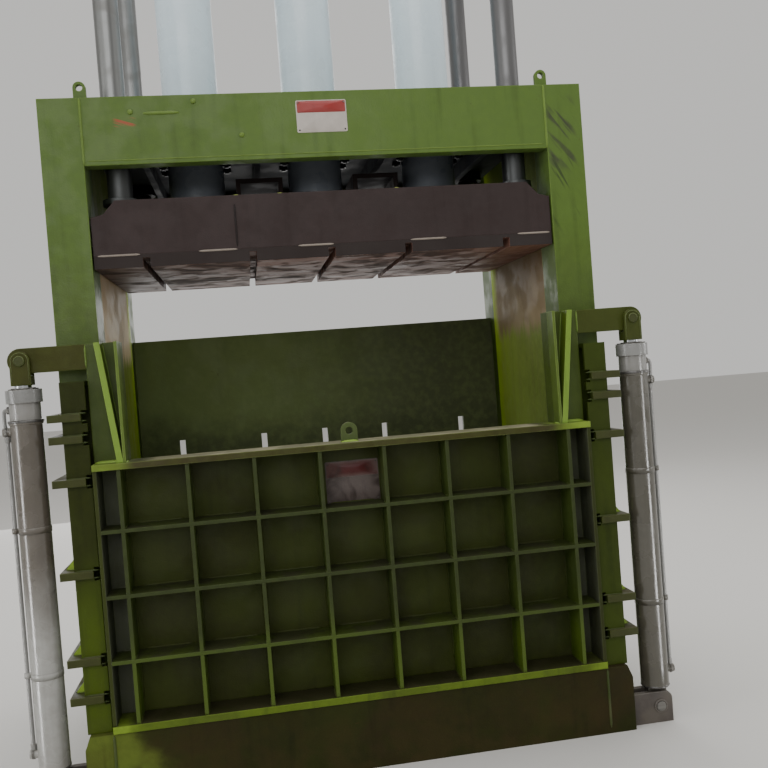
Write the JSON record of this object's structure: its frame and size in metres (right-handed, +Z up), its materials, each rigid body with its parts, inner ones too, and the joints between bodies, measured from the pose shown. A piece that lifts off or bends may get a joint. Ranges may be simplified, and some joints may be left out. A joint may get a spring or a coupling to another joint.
{
  "type": "vertical recycling baler",
  "caption": "Vertical hydraulic scrap baler with a welded gate frame, a slotted pressing platen on guide columns and a ribbed front gate lifted by side cylinders.",
  "frame": {"origin": "middle of the machine's box on the ground plane", "axes": "+Z up; front, where the ribbed gate is, towards -Y; +X to the right seen from the front"},
  "size_m": [2.368, 1.191, 3.537],
  "materials": {
    "green_paint": "satin, weathered",
    "edge_paint": "satin",
    "inner_paint": "dirty satin",
    "gloss_paint": "gloss",
    "dusty_paint": "dusty",
    "stained_paint": "stained",
    "brown_primer": "matt primer",
    "pale_paint": "satin",
    "grey_paint": "satin",
    "worn_steel": "worn, streaked",
    "column_steel": "ground",
    "machined_steel": "turned",
    "rod_chrome": "polished"
  },
  "bodies": {
    "root": {"base_front_beam": "stained_paint", "base_rear_beam": "green_paint", "base_side_beams": "green_paint", "base_stringers": "green_paint", "chamber_floor": "worn_steel", "floor_wear_bars": "worn_steel", "left_front_post": "green_paint", "right_front_post": "green_paint", "left_rear_post": "green_paint", "right_rear_post": "green_paint", "left_side_wall": "gloss_paint", "right_side_wall": "gloss_paint", "left_side_ribs": "green_paint", "right_side_ribs": "green_paint", "left_gate_keepers": "edge_paint", "right_gate_keepers": "edge_paint", "back_wall": "inner_paint", "back_wall_ribs": "green_paint", "front_top_beam": "green_paint", "rear_top_beam": "green_paint", "cylinder_deck": "green_paint", "deck_ribs": "green_paint", "lifting_lugs": "edge_paint", "left_main_barrel": "pale_paint", "centre_main_barrel": "pale_paint", "right_main_barrel": "pale_paint", "main_glands": "machined_steel", "barrel_flanges": "pale_paint", "flange_bolts": "machined_steel", "guide_bushes": "machined_steel", "left_lift_barrel": "grey_paint", "right_lift_barrel": "grey_paint", "lift_heads": "grey_paint", "lift_brackets": "grey_paint", "foot_pins": "machined_steel", "lift_pipes": "grey_paint"},
    "platen": {"pressing_plate": "worn_steel", "platen_box": "brown_primer", "platen_ribs": "brown_primer", "platen_stiffeners": "brown_primer", "left_main_rod": "rod_chrome", "centre_main_rod": "rod_chrome", "right_main_rod": "rod_chrome", "rod_flange_bolts": "machined_steel", "front_guide_columns": "column_steel", "rear_guide_columns": "column_steel"},
    "gate": {"gate_skin": "inner_paint", "gate_uprights": "edge_paint", "gate_cross_ribs": "edge_paint", "gate_top_plate": "dusty_paint", "gate_foot_plate": "dusty_paint", "left_ear": "green_paint", "right_ear": "green_paint", "ear_bars": "edge_paint", "lift_arms": "green_paint", "gate_eye": "edge_paint", "lift_clevises": "edge_paint", "clevis_pins": "machined_steel", "left_lift_rod": "rod_chrome", "right_lift_rod": "rod_chrome"}
  },
  "joints": [
    {"name": "platen_slide", "type": "slide", "parent": "root", "child": "platen", "axis": [0, 0, 1], "range_m": [-1.05, 0]},
    {"name": "gate_lift", "type": "slide", "parent": "root", "child": "gate", "axis": [0, 0, 1], "range_m": [0, 1]}
  ]
}
